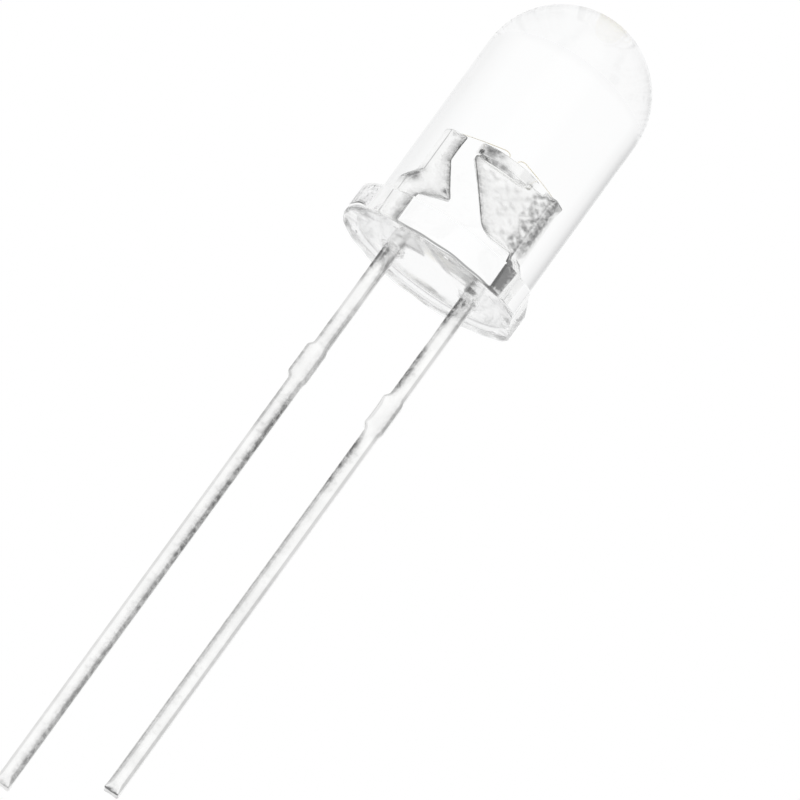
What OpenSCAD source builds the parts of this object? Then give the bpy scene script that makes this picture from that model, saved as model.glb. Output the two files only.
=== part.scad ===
// Five millimetre through hole light emitting diode, in millimetres.
// The axis is +Z towards the dome and the origin is the middle of the flange's underside.
// The leads lie along X: the longer anode lead at -X, the cathode lead and the flange's flat at +X.

/* [Lens] */
// Diameter of the round barrel
barrel_d = 5.0; // [4.6:0.1:5.4]
// Height of the lens from the flange's underside to the top of the dome
lens_h = 8.9; // [7.6:0.05:10]
// How far the flange stands out from the barrel
flange_step = 0.45; // [0.2:0.05:0.6]
// Thickness of the flange
flange_h = 0.9; // [0.6:0.05:1.2]
// Radius on the flange's two rim edges
flange_edge_r = 0.1; // [0.04:0.02:0.2]
// How far the flange's flat stands out from the barrel, on the cathode side
flat_proud = 0.15; // [0.03:0.01:0.2]
// Width of the flat rim round the dished underside
dish_rim = 0.35; // [0.25:0.05:0.6]
// Depth of the dish in the underside
dish_depth = 0.12; // [0.04:0.02:0.24]

/* [Lead frame] */
// Distance between the two leads, centre to centre
lead_pitch = 2.54; // [2.3:0.02:2.8]
// Width of a lead along X
lead_w = 0.46; // [0.4:0.02:0.6]
// Thickness of the metal sheet that both leads are stamped from
sheet_t = 0.46; // [0.4:0.02:0.6]
// Length of the anode lead below the flange
anode_len = 18.65; // [12:0.05:30]
// Length of the cathode lead below the flange
cathode_len = 17.1; // [11:0.1:28]
// Size of the cut corners at a lead's tip
tip_cut = 0.09; // [0.04:0.01:0.15]

/* [Stand-off stoppers] */
// Depth of the stoppers' upper end below the flange
stopper_drop = 3.44; // [2:0.02:6]
// Length of a stopper along its lead
stopper_len = 1.2; // [0.8:0.05:1.8]
// Length of the slope at each end of a stopper
stopper_slope = 0.22; // [0.1:0.02:0.35]
// How far a stopper stands out on its -X side
stopper_wide = 0.12; // [0.06:0.01:0.25]
// How far a stopper stands out on its +X side
stopper_narrow = 0.04; // [0.02:0.01:0.2]

/* [Anode post] */
// Height of the post's top, where the wire is bonded
post_top = 3.62; // [3.4:0.01:3.7]
// Width of the bonding head
post_head_w = 0.38; // [0.26:0.02:0.42]
// Distance of the bonding head's middle from the axis
post_head_x = 1.09; // [1:0.01:1.2]
// Length of the head's straight inner side
post_head_h = 0.8; // [0.5:0.05:1]
// Height of the barb's point
barb_z = 1.82; // [1.7:0.02:2.1]
// How far the barb reaches inwards from the lead
barb_w = 0.56; // [0.2:0.02:0.66]
// Height where the barb's underside meets the lead
barb_root_z = 1.5; // [1.1:0.02:1.6]
// Height of the outer shoulder, where the post starts to narrow
post_shoulder = 1.82; // [1.62:0.02:2.1]
// Height of the step from the shoulder to the post's straight outer side
post_step_h = 0.36; // [0.1:0.02:0.5]

/* [Cathode anvil] */
// Height of the anvil's top edge
anvil_top = 3.48; // [3.35:0.01:3.52]
// Distance of the anvil's outer edge from the axis
anvil_outer = 1.25; // [1.16:0.01:1.4]
// Height of the lead's shoulder under the anvil
anvil_shoulder = 1.2; // [1:0.05:1.4]
// Height of the slope from the lead's shoulder to the anvil's outer edge
anvil_shoulder_h = 0.35; // [0.1:0.05:0.5]
// Width of the bonding horn on the anvil's outer corner
horn_w = 0.36; // [0.24:0.02:0.4]
// Height of the bonding horn over the anvil's top edge
horn_h = 0.14; // [0.06:0.01:0.2]
// Height of the anvil's slanted edge where it meets the cup
toe_z = 3.22; // [3.16:0.01:3.3]
// How far past the axis the slanted edge starts
toe_x = 0.58; // [0.5:0.01:0.64]
// Height of the anvil's lower edge
anvil_base = 1.6; // [1.5:0.01:1.7]
// Distance from the axis to where the lower edge turns into the slanted edge
heel_x = 0.3; // [0.2:0.01:0.4]
// Radius of the bend between the slanted edge and the lower edge
heel_r = 0.45; // [0.3:0.05:0.8]

/* [Reflector cup] */
// Outer diameter of the cup
cup_d = 1.24; // [1.16:0.02:1.32]
// Height of the cup's rim
cup_top = 3.72; // [3.6:0.02:3.9]
// Outer height of the cup
cup_h = 0.44; // [0.38:0.02:0.5]
// Size of the slope on the cup's lower outer edge
cup_taper = 0.12; // [0.04:0.02:0.18]
// Diameter of the bowl at the rim
bowl_top_d = 1.0; // [0.86:0.02:1.08]
// Diameter of the bowl's floor
bowl_floor_d = 0.56; // [0.52:0.02:0.72]
// Depth of the bowl
bowl_depth = 0.3; // [0.24:0.02:0.34]

/* [Chip, adhesive, phosphor and wires] */
// Side of the square chip
chip_w = 0.3; // [0.24:0.01:0.33]
// Height of the chip
chip_h = 0.12; // [0.08:0.01:0.16]
// How far the adhesive shows round the chip
glue_margin = 0.02; // [0.005:0.005:0.025]
// Thickness of the adhesive
glue_h = 0.02; // [0.01:0.005:0.03]
// How far the phosphor stays below the cup's rim
phosphor_gap = 0.04; // [0.02:0.01:0.06]
// Diameter of a bond wire
wire_d = 0.03; // [0.02:0.002:0.04]
// Diameter of the ball where a wire starts on the chip
ball_d = 0.08; // [0.06:0.005:0.1]
// Height of that ball
ball_h = 0.03; // [0.02:0.005:0.04]
// Distance of the two balls from the chip's middle
ball_x = 0.09; // [0.07:0.005:0.1]
// Radius of the bend at the top of a wire
wire_bend_r = 0.1; // [0.06:0.01:0.12]
// How high a wire passes over the cup's rim, at the wire's middle
wire_over_rim = 0.06; // [0.05:0.01:0.12]
// Length of the flattened foot where a wire is stitched down
foot_len = 0.1; // [0.08:0.01:0.14]
// Width of that foot
foot_w = 0.06; // [0.04:0.005:0.08]
// Thickness of that foot
foot_h = 0.012; // [0.008:0.002:0.02]

/* [Hidden] */
$fn = 96;
barrel_r = barrel_d / 2;
flange_r = barrel_r + flange_step;
dome_z = lens_h - barrel_r;
flat_x = barrel_r + flat_proud;
dish_r = flange_r - flange_edge_r - dish_rim;
dish_ball_r = (dish_r * dish_r + dish_depth * dish_depth) / (2 * dish_depth);
lead_in = lead_pitch / 2 - lead_w / 2;
lead_out = lead_pitch / 2 + lead_w / 2;
anode_x = -lead_pitch / 2;
cathode_x = lead_pitch / 2;
cup_r = cup_d / 2;
bowl_floor_z = cup_top - bowl_depth;
bowl_slope = (bowl_top_d - bowl_floor_d) / 2 / bowl_depth;
chip_z = bowl_floor_z + glue_h;
chip_top = chip_z + chip_h;
phosphor_z = cup_top - phosphor_gap;
horn_x = anvil_outer - horn_w / 2;
horn_z = anvil_top + horn_h;
wire_r = wire_d / 2;
ball_waist = 0.85;
heel_steps = 8;
bend_steps = 6;
wire_sides = 8;
far = 20;

// Points of an arc about c, from angle a0 to angle a1
function arc_points(c, r, a0, a1, steps) =
    [for (i = [0 : steps]) c + r * [cos(a0 + (a1 - a0) * i / steps), sin(a0 + (a1 - a0) * i / steps)]];

// Angle of the slanted edge, from its lower end at the heel up to the toe
slant = atan2(toe_z - anvil_base, -toe_x - heel_x);
// The heel's arc touches both edges this far from their corner
heel_back = heel_r * tan((180 - slant) / 2);
heel_centre = [heel_x + heel_back, anvil_base + heel_r];

// A stamped outline drawn in X and Z, given the sheet's thickness about the lead plane
module stamped() {
    rotate([90, 0, 0])
        linear_extrude(height = sheet_t, center = true)
            children();
}

// A lead below the lens: down its +X side, round the tip with its cut corners and up its -X side,
// past what is left of the tie bar, a low bulge on both sides that is wider on the -X side
function blade_points(x, length) = [
    [x + lead_w / 2, -stopper_drop],
    [x + lead_w / 2 + stopper_narrow, -stopper_drop - stopper_slope],
    [x + lead_w / 2 + stopper_narrow, -stopper_drop - stopper_len + stopper_slope],
    [x + lead_w / 2, -stopper_drop - stopper_len],
    [x + lead_w / 2, tip_cut - length],
    [x + lead_w / 2 - tip_cut, -length],
    [x - lead_w / 2 + tip_cut, -length],
    [x - lead_w / 2, tip_cut - length],
    [x - lead_w / 2, -stopper_drop - stopper_len],
    [x - lead_w / 2 - stopper_wide, -stopper_drop - stopper_len + stopper_slope],
    [x - lead_w / 2 - stopper_wide, -stopper_drop - stopper_slope],
    [x - lead_w / 2, -stopper_drop]
];

// The post beside the cup, from its outer side over the bonding head to the barb that anchors it
function post_points() = [
    [-lead_out, post_shoulder],
    [-post_head_x - post_head_w / 2, post_shoulder + post_step_h],
    [-post_head_x - post_head_w / 2, post_top],
    [-post_head_x + post_head_w / 2, post_top],
    [-post_head_x + post_head_w / 2, post_top - post_head_h],
    [-lead_in + barb_w, barb_z],
    [-lead_in, barb_root_z]
];

// The wide blade that carries the cup, from its lower edge up the slanted side that faces the post,
// over the top edge and the bonding horn, and down its outer side
function anvil_points() = concat(
    [[lead_in, anvil_base]],
    arc_points(heel_centre, heel_r, 270, slant + 90, heel_steps),
    [
        [-toe_x, toe_z],
        [-toe_x, anvil_top],
        [anvil_outer - horn_w, anvil_top],
        [anvil_outer - horn_w, horn_z],
        [anvil_outer, horn_z],
        [anvil_outer, anvil_shoulder + anvil_shoulder_h],
        [lead_out, anvil_shoulder]
    ]
);

// The round bowl of the cup, filled up to the height top
module bowl(top) {
    rotate_extrude()
        polygon([
            [0, bowl_floor_z],
            [bowl_floor_d / 2, bowl_floor_z],
            [bowl_floor_d / 2 + (top - bowl_floor_z) * bowl_slope, top],
            [0, top]
        ]);
}

// The round cup pressed up from the anvil, solid; its bowl is cut by the lead's own module
module cup_block() {
    rotate_extrude()
        polygon([
            [0, cup_top - cup_h],
            [cup_r - cup_taper, cup_top - cup_h],
            [cup_r, cup_top - cup_h + cup_taper],
            [cup_r, cup_top],
            [0, cup_top]
        ]);
}

module anode_lead() {
    color("silver")
        stamped()
            polygon(concat(post_points(), blade_points(anode_x, anode_len)));
}

module cathode_lead() {
    color("silver")
        difference() {
            union() {
                stamped()
                    polygon(concat(anvil_points(), blade_points(cathode_x, cathode_len)));
                cup_block();
            }
            bowl(cup_top);
        }
}

module led_chip() {
    color("lightsteelblue")
        translate([-chip_w / 2, -chip_w / 2, chip_z])
            cube([chip_w, chip_w, chip_h]);
}

module chip_adhesive() {
    glue_w = chip_w + 2 * glue_margin;
    color("whitesmoke")
        translate([-glue_w / 2, -glue_w / 2, bowl_floor_z])
            cube([glue_w, glue_w, glue_h]);
}

module phosphor_fill() {
    color("khaki")
        difference() {
            bowl(phosphor_z);
            led_chip();
            chip_adhesive();
            anode_bond_wire();
            cathode_bond_wire();
        }
}

// Sections of a wire in the XZ plane, on its way from the chip towards +X to a pad at land_x, land_z.
// Each one is [x, z, heading above +X, half its width in Y, half its height across the heading].
function wire_sections(land_x, land_z) =
    let(
        touch = [land_x - foot_len / 2, land_z + wire_r],
        fall = atan2(touch[1] - cup_top - wire_over_rim, touch[0] - cup_r),
        bend_x = ball_x + wire_bend_r,
        bend_z = touch[1] - (touch[0] - bend_x) * tan(fall) - wire_bend_r / cos(fall),
        last_round = touch - foot_len / 2 * [cos(fall), sin(fall)],
        toe_half = (wire_r + foot_h / 2) / 2,
        foot_z = land_z + foot_h / 2 * cos(180 / wire_sides)
    )
    concat(
        [
            [ball_x, chip_top, 90, ball_d / 2 * ball_waist, ball_d / 2 * ball_waist],
            [ball_x, chip_top + ball_h / 2, 90, ball_d / 2, ball_d / 2],
            [ball_x, chip_top + ball_h, 90, wire_r, wire_r]
        ],
        [
            for (i = [0 : bend_steps])
                let(heading = 90 + (fall - 90) * i / bend_steps)
                [
                    bend_x - wire_bend_r * sin(heading),
                    bend_z + wire_bend_r * cos(heading),
                    heading,
                    wire_r,
                    wire_r
                ]
        ],
        [
            [last_round[0], last_round[1], fall, wire_r, wire_r],
            [touch[0], land_z + toe_half, fall / 2, (wire_r + foot_w / 2) / 2, toe_half],
            [touch[0] + foot_len / 3, foot_z, 0, foot_w / 2, foot_h / 2],
            [touch[0] + foot_len, foot_z, 0, foot_w / 2, foot_h / 2]
        ]
    );

// Corners of one section, with a flat side down where the wire lies on its pad
function section_corners(s) = [
    for (k = [0 : wire_sides - 1])
        let(turn = (k + 0.5) * 360 / wire_sides, across = s[4] * sin(turn))
        [s[0] - across * sin(s[2]), s[3] * cos(turn), s[1] + across * cos(s[2])]
];

// One closed surface through all the sections
module bond_wire(land_x, land_z) {
    sections = wire_sections(land_x, land_z);
    last = len(sections) - 1;
    polyhedron(
        points = [for (s = sections) each section_corners(s)],
        faces = concat(
            [[for (k = [0 : wire_sides - 1]) k]],
            [
                for (i = [0 : last - 1], k = [0 : wire_sides - 1], upper = [false, true])
                    let(
                        here = i * wire_sides,
                        next_k = (k + 1) % wire_sides
                    )
                    upper
                        ? [here + next_k, here + k, here + wire_sides + next_k]
                        : [here + k, here + wire_sides + k, here + wire_sides + next_k]
            ],
            [[for (k = [0 : wire_sides - 1]) (last + 1) * wire_sides - 1 - k]]
        )
    );
}

module anode_bond_wire() {
    color("gold")
        mirror([1, 0, 0])
            bond_wire(post_head_x, post_top);
}

module cathode_bond_wire() {
    color("gold")
        bond_wire(horn_x, horn_z);
}

// Half section of the flange with both rim edges rounded
module flange_section() {
    square([flange_r - flange_edge_r, flange_h]);
    translate([0, flange_edge_r])
        square([flange_r, flange_h - 2 * flange_edge_r]);
    for (z = [flange_edge_r, flange_h - flange_edge_r])
        translate([flange_r - flange_edge_r, z])
            circle(r = flange_edge_r);
}

// The cast lens as one solid: barrel, dome, flange with its flat, and the dished underside
module lens_casting() {
    difference() {
        union() {
            cylinder(r = barrel_r, h = dome_z);
            translate([0, 0, dome_z])
                sphere(r = barrel_r);
            difference() {
                rotate_extrude()
                    flange_section();
                translate([flat_x, -far / 2, -far / 2])
                    cube(far);
            }
        }
        translate([0, 0, dish_depth - dish_ball_r])
            sphere(r = dish_ball_r);
    }
}

// The lens closes round everything that was cast into it
module lens() {
    color("aliceblue", 0.35)
        difference() {
            lens_casting();
            anode_lead();
            cathode_lead();
            led_chip();
            chip_adhesive();
            phosphor_fill();
            anode_bond_wire();
            cathode_bond_wire();
        }
}

lens();
anode_lead();
cathode_lead();
led_chip();
chip_adhesive();
phosphor_fill();
anode_bond_wire();
cathode_bond_wire();
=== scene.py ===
import bmesh
import bpy
import numpy as np
from mathutils import Matrix, Vector
from mathutils.geometry import delaunay_2d_cdt


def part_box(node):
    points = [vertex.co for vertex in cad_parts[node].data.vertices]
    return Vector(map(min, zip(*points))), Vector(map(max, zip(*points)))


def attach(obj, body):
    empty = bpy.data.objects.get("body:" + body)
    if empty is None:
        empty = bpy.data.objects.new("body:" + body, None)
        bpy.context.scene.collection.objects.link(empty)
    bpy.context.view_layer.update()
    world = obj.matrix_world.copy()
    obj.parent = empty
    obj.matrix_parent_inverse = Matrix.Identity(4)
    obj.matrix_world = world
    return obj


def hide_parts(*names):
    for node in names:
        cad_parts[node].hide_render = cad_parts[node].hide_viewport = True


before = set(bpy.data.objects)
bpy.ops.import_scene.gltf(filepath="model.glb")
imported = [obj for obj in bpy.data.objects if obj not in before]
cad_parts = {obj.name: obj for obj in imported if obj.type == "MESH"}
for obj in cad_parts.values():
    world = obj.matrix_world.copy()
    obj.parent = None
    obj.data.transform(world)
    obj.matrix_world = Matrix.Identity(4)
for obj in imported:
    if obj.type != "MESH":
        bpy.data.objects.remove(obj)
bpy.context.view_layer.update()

mm = 0.001  # everything below is in millimetres until it goes into a mesh
photoSide = 800  # the photograph's frame, in pixels
noArc = 9  # radius noted for outline points that lie on no arc, wider than any real one
mostCut = 0.45  # the most a rounded corner takes of a side, so that two never meet


def cornersOf(node):
    low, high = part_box(node)
    return np.array(low) / mm, np.array(high) / mm


lensLow, lensHigh = cornersOf("lens")
anodeLow, anodeHigh = cornersOf("anode_lead")
cathodeLow, cathodeHigh = cornersOf("cathode_lead")
chipTop = cornersOf("led_chip")[1][2]


# Shapes as whole arrays

def rise(values, start, end):
    # 0 up to start, 1 from end on and straight between; it falls where end is the smaller
    return np.clip((values - start) / (end - start), 0, 1)


def between(start, end, count):
    # evenly spaced values that leave out both ends
    return np.linspace(start, end, count + 2)[1:-1]


def blend(first, second, share):
    return first + (second - first) * share


def gridFaces(rows, cols):
    # quads between neighbouring rows, with the last column joined to the first
    i = np.arange(rows - 1)[:, None]
    j = np.arange(cols)
    here = i * cols + j
    beside = i * cols + (j + 1) % cols
    return np.stack([here, beside, beside + cols, here + cols], -1).reshape(-1, 4).tolist()


def fanFaces(centre, ring):
    # triangles from one point to each side of a closed ring
    return np.stack([np.full(len(ring), centre), ring, np.roll(ring, -1)], -1).tolist()


def arc(centre, radius, fromDeg, toDeg, steps):
    # points of a circle's arc: centre + radius * (cos, sin)
    turn = np.radians(np.linspace(fromDeg, toDeg, steps + 1))
    return np.stack([centre[0] + radius * np.cos(turn), centre[1] + radius * np.sin(turn)], -1)


def roundCorners(corners, cutBack, steps):
    # each corner of a closed outline becomes an arc that touches both of its sides, cut back so far
    # from the corner; the second value returned is the radius of each point's arc
    corner = np.asarray(corners, float)
    back = np.roll(corner, 1, 0) - corner
    ahead = np.roll(corner, -1, 0) - corner
    backLen = np.linalg.norm(back, axis=1)
    aheadLen = np.linalg.norm(ahead, axis=1)
    back = back / backLen[:, None]
    ahead = ahead / aheadLen[:, None]
    half = np.arccos(np.clip((back * ahead).sum(1), -1, 1)) / 2
    reach = np.minimum(cutBack, mostCut * np.minimum(backLen, aheadLen))
    bisector = back + ahead
    size = np.linalg.norm(bisector, axis=1)
    straight = size < 1e-6
    bisector = bisector / np.where(straight, 1, size)[:, None]
    centre = corner + bisector * (reach / np.cos(half))[:, None]
    first = corner + back * reach[:, None] - centre
    last = corner + ahead * reach[:, None] - centre
    a0 = np.arctan2(first[:, 1], first[:, 0])
    turn = np.arctan2(last[:, 1], last[:, 0]) - a0
    turn = (turn + np.pi) % (2 * np.pi) - np.pi
    share = np.linspace(0, 1, steps + 1)
    angle = a0[:, None] + turn[:, None] * share
    got = np.linalg.norm(first, axis=1)
    points = centre[:, None, :] + got[:, None, None] * np.stack([np.cos(angle), np.sin(angle)], -1)
    points[straight] = corner[straight][:, None, :]
    got[straight] = noArc
    return points.reshape(-1, 2), np.repeat(got, steps + 1)


def splitLong(outline, limit, longest):
    # new points along the sides of a closed outline that are longer than asked
    ahead = np.roll(outline, -1, 0)
    pieces = np.maximum(np.ceil(np.linalg.norm(ahead - outline, axis=1) / longest).astype(int), 1)
    owner = np.repeat(np.arange(len(outline)), pieces)
    step = np.arange(len(owner)) - np.repeat(np.cumsum(pieces) - pieces, pieces)
    share = (step / pieces[owner])[:, None]
    points = outline[owner] * (1 - share) + ahead[owner] * share
    return points, np.where(step == 0, limit[owner], noArc)


def lathe(profile, angles):
    # a profile (radius, z) from pole to pole, turned about Z: (r cos a, r sin a, z)
    ring = profile[1:-1]
    x = ring[:, 0, None] * np.cos(angles)
    y = ring[:, 0, None] * np.sin(angles)
    z = np.broadcast_to(ring[:, 1, None], x.shape)
    verts = np.stack([x, y, z], -1).reshape(-1, 3)
    count = len(angles)
    faces = gridFaces(len(ring), count)
    bottom, top = len(verts), len(verts) + 1
    verts = np.vstack([verts, [0, 0, profile[0, 1]], [0, 0, profile[-1, 1]]])
    faces += fanFaces(bottom, np.arange(count)[::-1])
    faces += fanFaces(top, np.arange(count) + (len(ring) - 1) * count)
    return verts, faces


def tube(path, heading, halfWide, halfHigh, sides):
    # elliptical sections in planes across a path in XZ: centre + halfWide cos k in Y, halfHigh sin k across
    k = (np.arange(sides) + 0.5) * 2 * np.pi / sides
    across = halfHigh[:, None] * np.sin(k)
    x = path[:, 0, None] - across * np.sin(heading)[:, None]
    z = path[:, 1, None] + across * np.cos(heading)[:, None]
    y = halfWide[:, None] * np.cos(k)
    verts = np.stack([x, y, z], -1).reshape(-1, 3)
    faces = gridFaces(len(path), sides)
    faces.append(list(range(sides)))
    faces.append(list(range((len(path) - 1) * sides, len(path) * sides)))
    return verts, faces


def joined(*meshes):
    # several closed shells as one mesh
    verts, faces, count = [], [], 0
    for v, f in meshes:
        verts.append(v)
        faces += [[i + count for i in face] for face in f]
        count += len(v)
    return np.vstack(verts), faces


def makePiece(name, shape, material, standsFor, sharpDeg=25, paintedShadeAndWear=None):
    # a mesh from vertices in millimetres, with its painted shade and wear, that stands for CAD nodes
    verts, faces = shape
    mesh = bpy.data.meshes.new(name)
    mesh.from_pydata((verts * mm).tolist(), [], faces)
    if paintedShadeAndWear is not None:
        mesh.attributes.new("paintedShadeAndWear", "FLOAT", "POINT").data.foreach_set("value", paintedShadeAndWear.astype(np.float32))
    work = bmesh.new()
    work.from_mesh(mesh)
    bmesh.ops.remove_doubles(work, verts=work.verts, dist=1e-8)
    bmesh.ops.recalc_face_normals(work, faces=work.faces)
    work.to_mesh(mesh)
    work.free()
    mesh.shade_smooth()
    mesh.set_sharp_from_angle(angle=np.radians(sharpDeg))
    piece = bpy.data.objects.new(name, mesh)
    bpy.context.collection.objects.link(piece)
    mesh.materials.append(material)
    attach(piece, "root")
    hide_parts(*standsFor)
    print(f"made {name}: {len(mesh.polygons)} faces")


# Materials

def emptyMaterial(name):
    material = bpy.data.materials.new(name)
    material.use_nodes = True
    tree = material.node_tree
    tree.nodes.clear()
    return material, tree, tree.nodes.new("ShaderNodeOutputMaterial")


def newMaterial(name):
    material, tree, out = emptyMaterial(name)
    shader = tree.nodes.new("ShaderNodeBsdfPrincipled")
    tree.links.new(shader.outputs[0], out.inputs[0])
    return material, tree, shader


def node(tree, kind, **values):
    # a node with its settings and the plain values of its sockets; "in_3" is input 3
    made = tree.nodes.new(kind)
    for key, value in values.items():
        if key.startswith("in_"):
            made.inputs[int(key[3:])].default_value = value
        elif key in made.inputs:
            made.inputs[key].default_value = value
        else:
            setattr(made, key, value)
    return made


def objectNoise(tree, scale, stretch=(1, 1, 1), detail=3, roughness=0.5):
    coord = node(tree, "ShaderNodeTexCoord")
    mapping = node(tree, "ShaderNodeMapping", Scale=stretch)
    noise = node(tree, "ShaderNodeTexNoise", Scale=scale, Detail=detail, Roughness=roughness)
    tree.links.new(coord.outputs["Object"], mapping.inputs["Vector"])
    tree.links.new(mapping.outputs[0], noise.inputs["Vector"])
    return noise.outputs[0]


def ramp(tree, source, stops):
    made = node(tree, "ShaderNodeValToRGB")
    elements = made.color_ramp.elements
    while len(elements) < len(stops):
        elements.new(0.5)
    for element, (place, shade) in zip(elements, stops):
        element.position = place
        colour = shade if isinstance(shade, tuple) else (shade, shade, shade)
        element.color = (*colour, 1)
    tree.links.new(source, made.inputs[0])
    return made.outputs[0]


def bump(tree, shader, height, strength, distance):
    made = node(tree, "ShaderNodeBump", Strength=strength, Distance=distance)
    tree.links.new(height, made.inputs["Height"])
    tree.links.new(made.outputs[0], shader.inputs["Normal"])


def feed(tree, socket, value):
    # a socket takes another's value, a plain number or a colour
    if isinstance(value, bpy.types.NodeSocket):
        tree.links.new(value, socket)
    elif socket.type == "RGBA":
        socket.default_value = (*np.broadcast_to(value, 3), 1)
    else:
        socket.default_value = value


def mapped(tree, value, start, end, atStart=0.0, atEnd=1.0):
    # atStart up to one value, atEnd from another on and straight between
    made = node(tree, "ShaderNodeMapRange", in_1=start, in_2=end, in_3=atStart, in_4=atEnd)
    tree.links.new(value, made.inputs[0])
    return made.outputs[0]


def maths(tree, operation, first, second, clamp=False):
    made = node(tree, "ShaderNodeMath", operation=operation, use_clamp=clamp)
    feed(tree, made.inputs[0], first)
    feed(tree, made.inputs[1], second)
    return made.outputs[0]


def mixTone(tree, first, second, share):
    # the first colour at share 0, the second at share 1
    made = node(tree, "ShaderNodeMix", data_type="RGBA")
    feed(tree, made.inputs[0], share)
    feed(tree, made.inputs[6], first)
    feed(tree, made.inputs[7], second)
    return made.outputs[2]


def mixShader(tree, first, second, share):
    made = node(tree, "ShaderNodeMixShader")
    for socket, source in zip(made.inputs, (share, first.outputs[0], second.outputs[0])):
        tree.links.new(source, socket)
    return made


epoxyLook = {
    "ior": 1.54,
    "roughness": 0.012,
    "undersideRoughness": 0.17,  # the poured underside is duller than the moulded walls
    "underside": (0.02 * mm, 0.16 * mm),  # heights between which that changes
    "flangeTop": (0.94 * mm, 0.99 * mm),  # heights between which the flange's painted edge shade becomes the lens's
    "flangeEdgeShade": [(0.5, (0.995, 0.997, 0.998)), (1, (0.97, 0.972, 0.975))],  # painted edge shade: darker by how far a wall turns away
    "lensEdgeShade": [(0.5, (0.995, 0.997, 0.998)), (0.66, (0.965, 0.967, 0.97)), (0.76, (0.86, 0.865, 0.87))],
    "waveScale": 900,  # slow waves left by the mould
    "waveStrength": 0.4,
    "waveDepth": 0.002 * mm,
}


def clearEpoxy():
    look = epoxyLook
    material, tree, shader = newMaterial("clearEpoxy")
    shader.inputs["IOR"].default_value = look["ior"]
    shader.inputs["Transmission Weight"].default_value = 1
    coord = node(tree, "ShaderNodeTexCoord")
    place = node(tree, "ShaderNodeSeparateXYZ")
    tree.links.new(coord.outputs["Object"], place.inputs[0])
    dull = mapped(tree, place.outputs[2], *look["underside"], look["undersideRoughness"], look["roughness"])
    tree.links.new(dull, shader.inputs["Roughness"])
    # painted shade: the resin's base colour darkens where its walls turn away from the view, standing in
    # for its shaded edges
    facing = node(tree, "ShaderNodeLayerWeight", Blend=0.5)
    flangeEdgeShade = ramp(tree, facing.outputs["Facing"], look["flangeEdgeShade"])
    lensEdgeShade = ramp(tree, facing.outputs["Facing"], look["lensEdgeShade"])
    above = mapped(tree, place.outputs[2], *look["flangeTop"])
    tone = mixTone(tree, flangeEdgeShade, lensEdgeShade, above)
    tree.links.new(tone, shader.inputs["Base Color"])
    waves = objectNoise(tree, look["waveScale"], detail=2)
    bump(tree, shader, waves, look["waveStrength"], look["waveDepth"])
    return material


platingLook = {
    "cloudScale": 1500,  # faint clouds in the plating
    "cloudTone": [(0.35, (0.93, 0.93, 0.925)), (0.6, (0.99, 0.99, 0.985))],
    "shadeAndWearTone": (0.22, 0.22, 0.22),  # painted shade and reflections on the rolled edges and faces, and the sheared ends' wear
    "mottleScale": 7000,  # blotches in the painted shade and wear
    "mottle": (0.35, 0.6),  # noise values between which a blotch fills in
    "mottleKeeps": (0.4, 1.0),  # share of the painted shade and wear that shows outside it and in it
    "drawScale": 6000,  # fine lines along the leads
    "drawStretch": (1, 1, 0.03),
    "lineRough": [(0.3, 0.09), (0.7, 0.18)],
    "lineStrength": 0.5,
    "lineDepth": 0.0015 * mm,
}


def platedSteel():
    look = platingLook
    material, tree, shader = newMaterial("platedSteel")
    shader.inputs["Metallic"].default_value = 1
    lines = objectNoise(tree, look["drawScale"], look["drawStretch"], detail=4)
    clouds = objectNoise(tree, look["cloudScale"])
    tone = ramp(tree, clouds, look["cloudTone"])
    # painted shade and reflections, and the sheared ends' wear, darken the plating towards a grey tone
    paintedShadeAndWear = node(tree, "ShaderNodeAttribute", attribute_name="paintedShadeAndWear")
    blotches = objectNoise(tree, look["mottleScale"], roughness=0.6)
    patchy = mapped(tree, blotches, *look["mottle"], *look["mottleKeeps"])
    shadeAndWear = maths(tree, "MULTIPLY", paintedShadeAndWear.outputs["Fac"], patchy)
    tree.links.new(mixTone(tree, tone, look["shadeAndWearTone"], shadeAndWear), shader.inputs["Base Color"])
    rough = ramp(tree, lines, look["lineRough"])
    tree.links.new(rough, shader.inputs["Roughness"])
    bump(tree, shader, lines, look["lineStrength"], look["lineDepth"])
    return material


goldLook = {
    "grainScale": 20000,
    "tone": [(0.3, (0.95, 0.90, 0.78)), (0.7, (0.99, 0.95, 0.86))],
    "roughness": 0.25,
    "metallic": 1,
}


def grained(name, look, detail, roughness=0.5):
    # a material whose tone follows fine grain
    material, tree, shader = newMaterial(name)
    grain = objectNoise(tree, look["grainScale"], detail=detail, roughness=roughness)
    tree.links.new(ramp(tree, grain, look["tone"]), shader.inputs["Base Color"])
    shader.inputs["Roughness"].default_value = look["roughness"]
    shader.inputs["Metallic"].default_value = look.get("metallic", 0)
    return material, tree, shader, grain


def bondGold():
    return grained("bondGold", goldLook, detail=2)[0]


phosphorLook = {
    "grainScale": 30000,
    "tone": [(0.3, (0.88, 0.78, 0.40)), (0.7, (0.96, 0.90, 0.60))],
    "roughness": 0.6,
    "soak": 0.2,  # how much light soaks in
    "soakReach": (0.05 * mm, 0.04 * mm, 0.02 * mm),
    "grainStrength": 0.6,
    "grainDepth": 0.004 * mm,
}


def phosphorResin():
    look = phosphorLook
    material, tree, shader, grain = grained("phosphorResin", look, detail=4, roughness=0.7)
    shader.inputs["Subsurface Weight"].default_value = look["soak"]
    shader.inputs["Subsurface Radius"].default_value = look["soakReach"]
    bump(tree, shader, grain, look["grainStrength"], look["grainDepth"])
    return material


crystalLook = {
    "cellScale": 25000,
    "tone": [(0.1, (0.62, 0.72, 0.80)), (0.6, (0.78, 0.86, 0.90))],
    "roughness": 0.12,
    "clear": 0.5,
    "ior": 1.77,
}


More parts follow.
